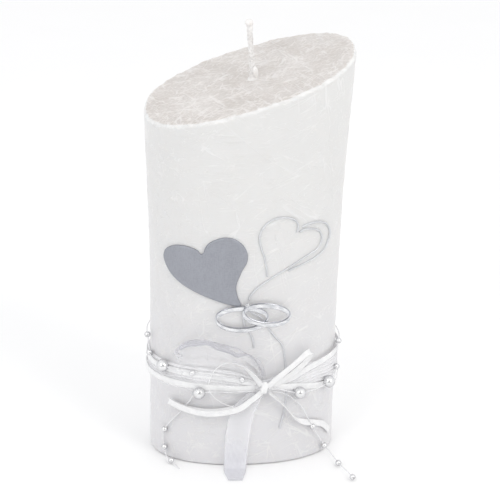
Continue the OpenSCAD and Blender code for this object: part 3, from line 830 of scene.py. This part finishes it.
def wick_wax():
    """The drop on the wick's tip, and the wax drawn up round its foot."""
    tip = WICK_FOOT + WICK_UP * (WICK_OUT + 0.3)
    drop = lump_shape(tip, [WICK_SIDE * DROP_R, WICK_BACK * DROP_R * 0.95, WICK_UP * DROP_R * 0.95],
                      0.12, 1.1, 31)
    run = lump_shape(tip - WICK_UP * 2.2 + WICK_SIDE * 0.25,
                     [WICK_SIDE * 1.35, WICK_BACK * 1.3, WICK_UP * 2.4], 0.12, 1.3, 32)
    make_mesh("wick_drop_wax", *joined([drop, run]), "wick_drop", "waxed_wick", WICK)

    normal = unit(np.array([-SLOPE_RIGHT, -SLOPE_BACK, 1.0]))
    across = unit(np.cross(normal, [0, 1, 0]))
    ahead = np.cross(normal, across)
    a = circle(48)
    dirs = swung(a, across, ahead)
    uneven = 1 + 0.16 * fuzz(np.cos(a), np.sin(a), 0.0, 1.3, 33)
    rings = []
    for f in np.linspace(0, 1, 14):
        r = 1.15 + 2.5 * (1 - f) ** 2.6
        h = -0.3 + 2.9 * f ** 1.3
        middle = WICK_FOOT - [tan(_lean) * max(h, 0), 0, 0] + normal * h
        rings.append(middle + dirs * (r * (uneven if f < 0.8 else 1 + 0 * a))[:, None])
    rings += [WICK_FOOT + dirs * 0.9 + normal * h for h in (2.3, -0.3)]
    chip = lump_shape(WICK_FOOT + [0.9, -0.9, 2.6], [[1.3, 0, 0], [0, 1.2, 0], [-0.2, 0, 3.4]], 0.28, 1.4, 34)
    make_mesh("wick_foot_wax", *joined([ring_shape(rings, looped=True), chip]), "wick_fillet",
              "coat_wax", WICK)


def finish_node(node, material):
    """A CAD part keeps its shape and gets its real surface."""
    obj = nodes[node]
    obj.data.materials.clear()
    obj.data.materials.append(material)


braided_wick()
wick_wax()
finish_node("wax_core", CORE)
finish_node("base_plug", CORE)
finish_node("wick_clip", TIN)

# ---- hearts, stems and stone
HEART_T, STRIP_W, STRIP_T = 0.9, 1.0, 0.8
STONE_AT = (-2.1, 84.7, 2.2)
SOLID_HEART = [
    (-23.2, 109), (-25.5, 110.8), (-29.5, 112.1), (-34, 112), (-37.5, 110.3), (-39.5, 107.5),
    (-39.8, 103.5), (-37.5, 98), (-33, 93.4), (-26, 89.6), (-18, 86.5), (-11, 84.3),
    (-5, 83.4), (-6.5, 88), (-7.3, 93.5), (-5, 100.5), (-2.5, 105.5), (-2.4, 110),
    (-4.6, 114.3), (-8.5, 117.2), (-13, 117.9), (-17.5, 116.4), (-21, 113.7),
]
STRIPS = {
    "heart_left_line": [
        (20.4, 118.8), (21, 121.5), (20.4, 124), (18, 126), (14.5, 126.9), (11, 126.8),
        (7.5, 125.4), (4.8, 122.8), (3.3, 119.5), (3.1, 116), (4, 112), (5.3, 108),
        (6.4, 103), (7, 97.8),
    ],
    "heart_inner_line": [
        (21.6, 118.8), (24, 119.8), (27.5, 119.6), (30.5, 118.8), (33, 117), (34.2, 113.8),
        (33.3, 110.6), (31, 108.5), (27.5, 107), (21.5, 104), (16.5, 101.2), (12, 98.8),
        (7.5, 96), (2.2, 92), (-0.8, 88.2), (-1.3, 86),
    ],
    "heart_outer_line": [
        (23, 121.3), (25, 122), (28, 122.5), (32, 122.2), (36.2, 120.6), (39, 117),
        (39.3, 114), (38, 110.5), (36.5, 108.2), (34.6, 106.5), (31.5, 105), (28.8, 104),
        (26, 103), (22.8, 102), (19.5, 101), (16.8, 100),
    ],
    "stem_left": [(-3.9, 81), (-3.9, 78.5), (-3.2, 74), (-0.5, 69.5), (1, 66), (1.5, 62)],
    "stem_right": [
        (-1.8, 82), (0.5, 80), (5, 77), (8, 72), (11.5, 67), (15, 62.5), (16.4, 56),
        (17.2, 47), (17.8, 37), (17, 28), (15.8, 23), (14.8, 18.5),
    ],
}


def distance_to(p, ring):
    """From each point of p to the nearest edge of a closed outline."""
    a, b = ring[None], np.roll(ring, -1, 0)[None]
    t = ((p[:, None] - a) * (b - a)).sum(-1) / ((b - a) ** 2).sum(-1)
    near = a + np.clip(t, 0, 1)[..., None] * (b - a)
    return np.linalg.norm(p[:, None] - near, axis=-1).min(1)


def solid_heart():
    """A heart cut from silvered wax sheet and pressed on, with a softly rounded cut edge."""
    ring = spline(SOLID_HEART, 6, closed=True)
    xs, zs = np.meshgrid(np.arange(-41.0, 0), np.arange(82, 119, 0.87))
    xs = xs + (np.arange(len(xs)) % 2)[:, None] / 2
    grid = np.stack([xs.ravel(), zs.ravel()], -1)
    grid = grid[distance_to(grid, ring) > 0.45]
    run = headings(ring, looped=True)
    inward = np.stack([-run[:, 1], run[:, 0]], -1)
    flat = np.concatenate([ring, grid, ring + inward * 0.25, ring + inward * 0.6])
    coords, _, tris, *_ = delaunay_2d_cdt([Vector(q) for q in flat], [], [list(range(len(ring)))], 1, 1e-3)
    q = np.array([tuple(c) for c in coords])
    d = distance_to(q, ring)
    edge = np.sqrt(np.clip(1 - (1 - np.clip(d / 0.8, 0, 1)) ** 2, 0, 1))
    lift = HEART_T * (0.3 + 0.7 * edge) + 0.22 * np.clip(d / 9, 0, 1) ** 0.7
    lift = lift + 0.05 * fuzz(q[:, 0], q[:, 1], 0.0, 0.1, 41) * edge
    front, back = wall_over(q[:, 0], q[:, 1], lift)[0], wall_over(q[:, 0], q[:, 1], -0.3)[0]
    n = len(q)
    edges = dict.fromkeys(pair for t in tris for pair in zip(t, t[1:] + t[:1]))
    faces = [list(t) for t in tris] + [[n + i for i in t[::-1]] for t in tris]
    faces += [[k, i, n + i, n + k] for i, k in edges if (k, i) not in edges]
    make_mesh("silver_heart", np.concatenate([front, back]), faces, "solid_heart", "silver_sheet", HEART)


def wax_strip(node, route, material):
    """A rolled strip of silvered wax, half round, a little uneven and thin at its ends."""
    r = spline(route, 10)
    p, out = wall(r[:, 0], r[:, 1], 0.0)
    u, v = frames(p, out, 0.0)
    at = along(p)
    ends = np.clip(np.minimum(at, at[-1] - at) / 0.8, 0, 1)
    round_end = 0.35 + 0.65 * np.sqrt(1 - (1 - ends) ** 2)
    wide = STRIP_W / 2 * round_end * (1 + 0.10 * fuzz(at, 0 * at, 0.0, 0.35, len(route)))
    tall = STRIP_T * round_end * (1 + 0.12 * fuzz(at, 0 * at + 5, 0.0, 0.3, len(route)))
    a = np.linspace(-0.25, pi + 0.25, 13)
    rings = p[:, None] + v[:, None] * (wide[:, None] * np.cos(a))[..., None]
    rings = rings + u[:, None] * (tall[:, None] * np.maximum(np.sin(a), -0.3) + 0.02)[..., None]
    make_mesh("silver_" + node, *ring_shape(rings), node, "silver_strip", material)


def rhinestone():
    """A small brilliant-cut stone with a flat table, set where the rings and the hearts meet."""
    at, side, up, out = axes_at(*STONE_AT)
    i = np.arange(16)
    rings = []
    for r, h, turn in ((0.25, -0.5, 0), (1.05, 0.15, 0), (1.1, 0.3, 0), (0.9, 0.62, 0.5), (0.58, 0.88, 0)):
        a = (i // 2 * 2 + turn + i % 2 * 0.9) * pi / 8
        rings.append(at + r * swung(a, side, up) + out * h)
    make_mesh("rhinestone_cut", *ring_shape(rings), "rhinestone", "cut_glass", STONE, smooth=False)


solid_heart()
for line, route in STRIPS.items():
    wax_strip(line, route, STEM if line.startswith("stem") else STRIP)
rhinestone()

# ---- wedding rings
RING_BAND = 2.5            # height of the band's face
# (s, z, turn in degrees, width, height, off)
RINGS = {
    "ring_left": (-4.4, 77.3, 1, 24.4, 13.2, 0.85),
    "ring_right": (6.9, 79.4, -9, 22.0, 11.8, 1.9),
}


def wedding_ring(node, s, z, turn, wide, high, off):
    """A court-profile ring squashed in depth: its lower side stands forward and shows the outer
    face, and its upper side lies back on the wax and shows the inner one."""
    a = circle(120)
    x, h = (wide / 2 - 0.35) * np.cos(a), (high - RING_BAND) / 2 * np.sin(a)
    c, d = cos(radians(turn)), sin(radians(turn))
    profile = circle(16)
    rings = []
    for q in profile:
        up_band = RING_BAND / 2 * np.sign(cos(q)) * abs(cos(q)) ** 0.6
        thick = 0.42 * sin(q) * (1.25 if sin(q) > 0 else 0.8)
        xx = x + thick * np.cos(a)
        hh = h + up_band + thick * np.sin(a) * 0.35
        lift = off + 0.35 + 0.5 * (1 - np.sin(a)) / 2 - thick * np.sin(a) * 0.9
        rings.append(wall(s + xx * c - hh * d, z + xx * d + hh * c, lift)[0])
    rings = np.array(rings).transpose(1, 0, 2)
    ring = make_mesh("polished_" + node, *ring_shape(rings, looped=True), node, "polished_silver", CHROME)
    ring.visible_shadow = False
    place = np.zeros(rings.shape)
    place[..., 2] = np.cos(profile)
    add_place(ring, place)


for node, spec in RINGS.items():
    wedding_ring(node, *spec)

# ---- organza ribbon
SHEER_FLAT = 25.0          # width of the organza ribbon as cut
SHEER_WRAP_W = 12.0
SHEER_T = 0.14
SHEER_WRAP = [
    (-121.4, 45), (-95, 45), (-55, 45.5), (-30, 45.5), (-12, 44.8), (6, 42.2), (20, 44),
    (32, 45.5), (48, 45), (70, 45), (95, 45), (121.4, 45),
]
# The loop and the tail also have their gathered widths
SHEER_LOOP = [
    (4.5, 46, 2.6, 7), (-1, 52.5, 5.2, 16), (-10, 56, 7.6, 21), (-19, 58.5, 7.8, 23.5),
    (-27, 57.5, 5.8, 22), (-32.5, 53.5, 3.4, 12), (-29, 56, 1.3, 18), (-18, 57, 1.1, 19),
    (-6, 54, 1.1, 15), (2.5, 47.5, 1.3, 8),
]
SHEER_TAIL = [
    (4, 39.5, 2.2, 5), (0, 35.5, 2.6, 9), (-3.5, 30, 2.2, 11.5), (-5.5, 20, 1.5, 12),
    (-6.4, 10, 1.5, 12), (-6.8, 3.5, 2, 11.5), (-7, 0.9, 4, 11.2), (-7.2, 0.35, 8, 10.5),
    (-7.2, 0.35, 15.5, 7),
]
KNOT_S, KNOT_Z = 6.0, 42.0


def gathers(widths, folds, seed, flat=SHEER_FLAT, most=9.9):
    """A section that lays the cut width in soft pleats to fit into the given widths."""
    def section(u, v):
        w = widths[:, None]
        drift = 0.9 * fuzz(u * 0.07, v * 1.2, seed=seed) + 0.5 * fuzz(u * 0.22, v, seed=seed + 1)
        height = np.minimum(w / folds / 4 * np.sqrt(np.maximum((flat / w) ** 2 - 1, 0)), most)
        tuck = 1 - 0.35 * np.abs(v) ** 6
        return v * w / 2 + 0.25 * w / folds * np.sin(2 * drift), height * tuck * np.sin(
            pi * folds * v + 2.2 * drift)
    return section


def round_route(route):
    """A route all round the candle, stretched to meet its own start."""
    return spline([(s * HALF_ROUND / route[-1][0], z) for s, z in route], 16)[:-1]


def organza_wrap():
    r = round_route(SHEER_WRAP)
    p, out = wall(r[:, 0], r[:, 1], 0.75)
    face, across = frames(p, out, 0.0, looped=True)
    near = np.exp(-((r[:, 0] - KNOT_S) / 9) ** 2)
    widths = SHEER_WRAP_W * (1 - 0.5 * near) * (1 + 0.12 * fuzz(r[:, 0], r[:, 1], 0.0, 0.06, 51))
    pleats = gathers(widths, 7, 52, most=0.6)

    def section(u, v):
        side, lift = pleats(u, v)
        return side, lift * np.clip(0.25 + np.minimum(u, u.max() - u) / 4, 0, 1)

    wrap = cloth_band("organza_wrap", "sheer_wrap", p, across, face, section, SHEER_T, 65, "organza",
                      ORGANZA_GATHERED, looped=True)
    wrap.visible_shadow = False


def organza_loop():
    r = spline(SHEER_LOOP, 12)
    p = wall_path(r)
    across, face = frames(p, (0, 0, 1), 0.0)
    width = r[:, 3:]
    pleats = gathers(r[:, 3], 4, 61, flat=SHEER_FLAT * 0.9)

    def section(u, v):
        """Pleated, with the upper edge rolled over where the loop is wide."""
        side, lift = pleats(u, v)
        folded = np.clip((width - 12) / 8, 0, 1) * np.clip((v - 0.78) / 0.22, 0, 1)
        side = side - folded * (v - 0.78) * width * 0.85
        return side, lift - 0.5 * np.sin(np.minimum(folded, 1) * pi / 2)

    loop = cloth_band("organza_loop", "sheer_loop", p, across, face, section, SHEER_T, 41, "organza", ORGANZA)
    loop.visible_shadow = False


def organza_tail(knot):
    r = spline(SHEER_TAIL, 10)
    p = wall_path(r)
    across, face = frames(p, (1, 0, 0), 0.0)
    width = r[:, 3:]

    def section(u, v):
        """Folded double along its length, with the fold on the left, and a few soft creases."""
        side = width * (np.sqrt(v ** 2 + 0.002) - 0.5)
        gap = 0.28 * np.tanh(v / 0.12)
        wave = np.sin(v * 9 + 2 * fuzz(u * 0.06, v, seed=72))
        crease = 0.35 * fuzz(u * 0.05, v * 2.2, seed=71) + 0.25 * wave
        flatter = np.clip(p[:, 2:3] / 4, 0.05, 1) * np.clip(width / 12, 0.3, 1)
        return side, gap + crease * flatter

    tail = cloth_band("organza_tail", "sheer_tail", p, across, face, section, SHEER_T, 41, "organza",
                      ORGANZA_TAIL)
    tail.visible_shadow = False


def organza_knot():
    """The gathered crossing of the organza, drawn tight into creases that run into the knot."""
    at, side, up, out = axes_at(KNOT_S, KNOT_Z)
    la = np.linspace(0.12, pi - 0.12, 26)[:, None]
    lo = circle(72)[None]
    crease = 1 + 0.13 * np.sin(9 * lo + 1.3 * np.cos(la * 2)) + 0.05 * np.sin(17 * lo + 3 * la)
    r = np.sin(la) ** 0.8 * crease
    x = np.cos(la) * 4.0
    y, z = r * np.cos(lo) * 3.1, r * np.sin(lo) * 1.9
    points = at + out * 2.3 + side * x[..., None] + up * y[..., None] + out * z[..., None]
    return make_mesh("organza_knot", *ring_shape(points), "sheer_knot", "organza", ORGANZA_KNOT)


# ---- satin ribbon
SATIN_W, SATIN_T = 3.0, 0.22
SATIN_UPPER = [
    (-121.4, 49), (-95, 48.5), (-55, 48.3), (-35, 48.2), (-16, 47.7), (-4, 45.5), (8, 42.8),
    (19, 45), (29.5, 49), (46, 51.5), (70, 51.5), (95, 50), (121.4, 49),
]
SATIN_LOWER = [
    (-121.4, 41), (-95, 41.5), (-51, 42.2), (-26.5, 42), (-9, 41.8), (6, 41.5), (19, 41),
    (36, 38), (47.5, 36.8), (70, 38), (95, 40), (121.4, 41),
]
SATIN_LOOP_LEFT = [
    (5.2, 40.6, 4), (-1, 36, 5.4), (-7, 32.2, 5.8), (-19.5, 29.6, 5.2), (-31, 30.4, 3.8),
    (-38.4, 31.6, 2.4), (-37, 30.6, 1.2), (-30, 29.2, 1), (-18, 29, 1.1), (-7, 31.5, 1.4),
    (2.5, 38, 2),
]
SATIN_LOOP_RIGHT = [
    (7.6, 43, 4), (14, 49.5, 5.2), (20, 54.5, 5.6), (25.5, 58.2, 4.6), (28.2, 57.5, 3.4),
    (27, 53.8, 2.8), (21, 48.6, 2.6), (15, 45, 2.5), (8.6, 41.8, 2.4),
]
# The two free ends also have their twists in degrees
SATIN_TAIL = [
    (8.6, 40, 3.4, 15), (12.5, 36, 3.6, 10), (16, 32, 3.4, 10), (22, 24, 2.6, 20),
    (26.5, 21, 2.2, 55), (33, 18.5, 1.4, 80), (39, 15.6, 1, 90), (45.6, 9.5, 0.8, 90),
]
SATIN_CURL = [
    (5, 43.6, 4.4, 60), (1, 50, 7, 40), (-4.5, 56.5, 9.6, 10), (-11, 58.8, 10.4, 0),
    (-16, 54.8, 10.4, 0), (-18.5, 47, 9.6, 0), (-17.2, 41.7, 8.8, 0), (-13.7, 37.7, 8, 0),
    (-8, 34.8, 7.6, 0),
]


def satin_section(seed):
    """Slightly domed, with a firm woven edge and a faint ripple."""
    def section(u, v):
        side = v * SATIN_W / 2 + 0.04 * fuzz(u * 0.5, 0 * v, seed=seed + 1)
        dome = 0.12 * (1 - v ** 2) + 0.05 * (np.abs(v) > 0.86)
        return side, dome + 0.10 * fuzz(u * 0.18, v * 0.6, seed=seed)
    return section


def satin_band(name, node, p, across, face, section, looped=False):
    return cloth_band(name, node, p, across, face, section, SATIN_T, 9, "satin", SATIN, looped)


def satin_wrap(name, node, route, off, seed):
    r = round_route(route)
    p, out = wall(r[:, 0], r[:, 1], off)
    face, across = frames(p, out, 0.0, looped=True)
    even = satin_section(seed)

    def section(u, v):
        side, lift = even(u, v)
        return side, lift * np.clip(np.minimum(u, u.max() - u) / 6, 0, 1)

    satin_band(name, node, p, across, face, section, looped=True).visible_shadow = False


def satin_loop(name, node, route, seed, up):
    p = wall_path(spline(route, 12))
    satin_band(name, node, p, *frames(p, up, 0.0), satin_section(seed))


def satin_end(name, node, route, seed, up=None):
    """A free end of the satin."""
    r = spline(route, 12)
    p, out = wall(r[:, 0], r[:, 1], r[:, 2])
    piece = satin_band(name, node, p, *frames(p, out if up is None else up, r[:, 3]), satin_section(seed))


def satin_knot():
    """The satin's own knot: one turn drawn over the crossing, and a second lying askew under it."""
    at, side, up, out = axes_at(KNOT_S, KNOT_Z)
    centre = at + out * 4.4 + up * 0.9
    shapes = []
    for turn, wide, deep, reach in ((-8, 1.45, 1.2, 3.1), (-38, 1.3, 1.0, 2.2)):
        c, d = cos(radians(turn)), sin(radians(turn))
        axis, round_up = side * c + up * d, up * c - side * d
        loop = swung(circle(40), round_up * reach, out * deep)
        shapes.append(ring_shape([centre + axis * (v * wide) + loop * (1 - 0.22 * v ** 2)
                                  for v in np.linspace(-1, 1, 11)]))
    knot = make_mesh("satin_knot_turns", *joined(shapes), "satin_knot", "satin", SATIN)
    add_place(knot, [(v.co.z / MM, v.co.x / MM, 0) for v in knot.data.vertices])


satin_end("satin_end", "satin_tail", SATIN_TAIL, 81)
satin_end("satin_curl_end", "satin_curl", SATIN_CURL, 83, (-0.1, -0.9, 0.45))
satin_wrap("satin_wrap_high", "satin_wrap_upper", SATIN_UPPER, 1.6, 85)
satin_wrap("satin_wrap_low", "satin_wrap_lower", SATIN_LOWER, 1.85, 87)
satin_loop("satin_bow_left", "satin_loop_left", SATIN_LOOP_LEFT, 89, (0.2, 0, 1))
satin_loop("satin_bow_right", "satin_loop_right", SATIN_LOOP_RIGHT, 91, (-0.75, -0.2, 1))
satin_knot()
organza_wrap()
organza_loop()
organza_tail(organza_knot())
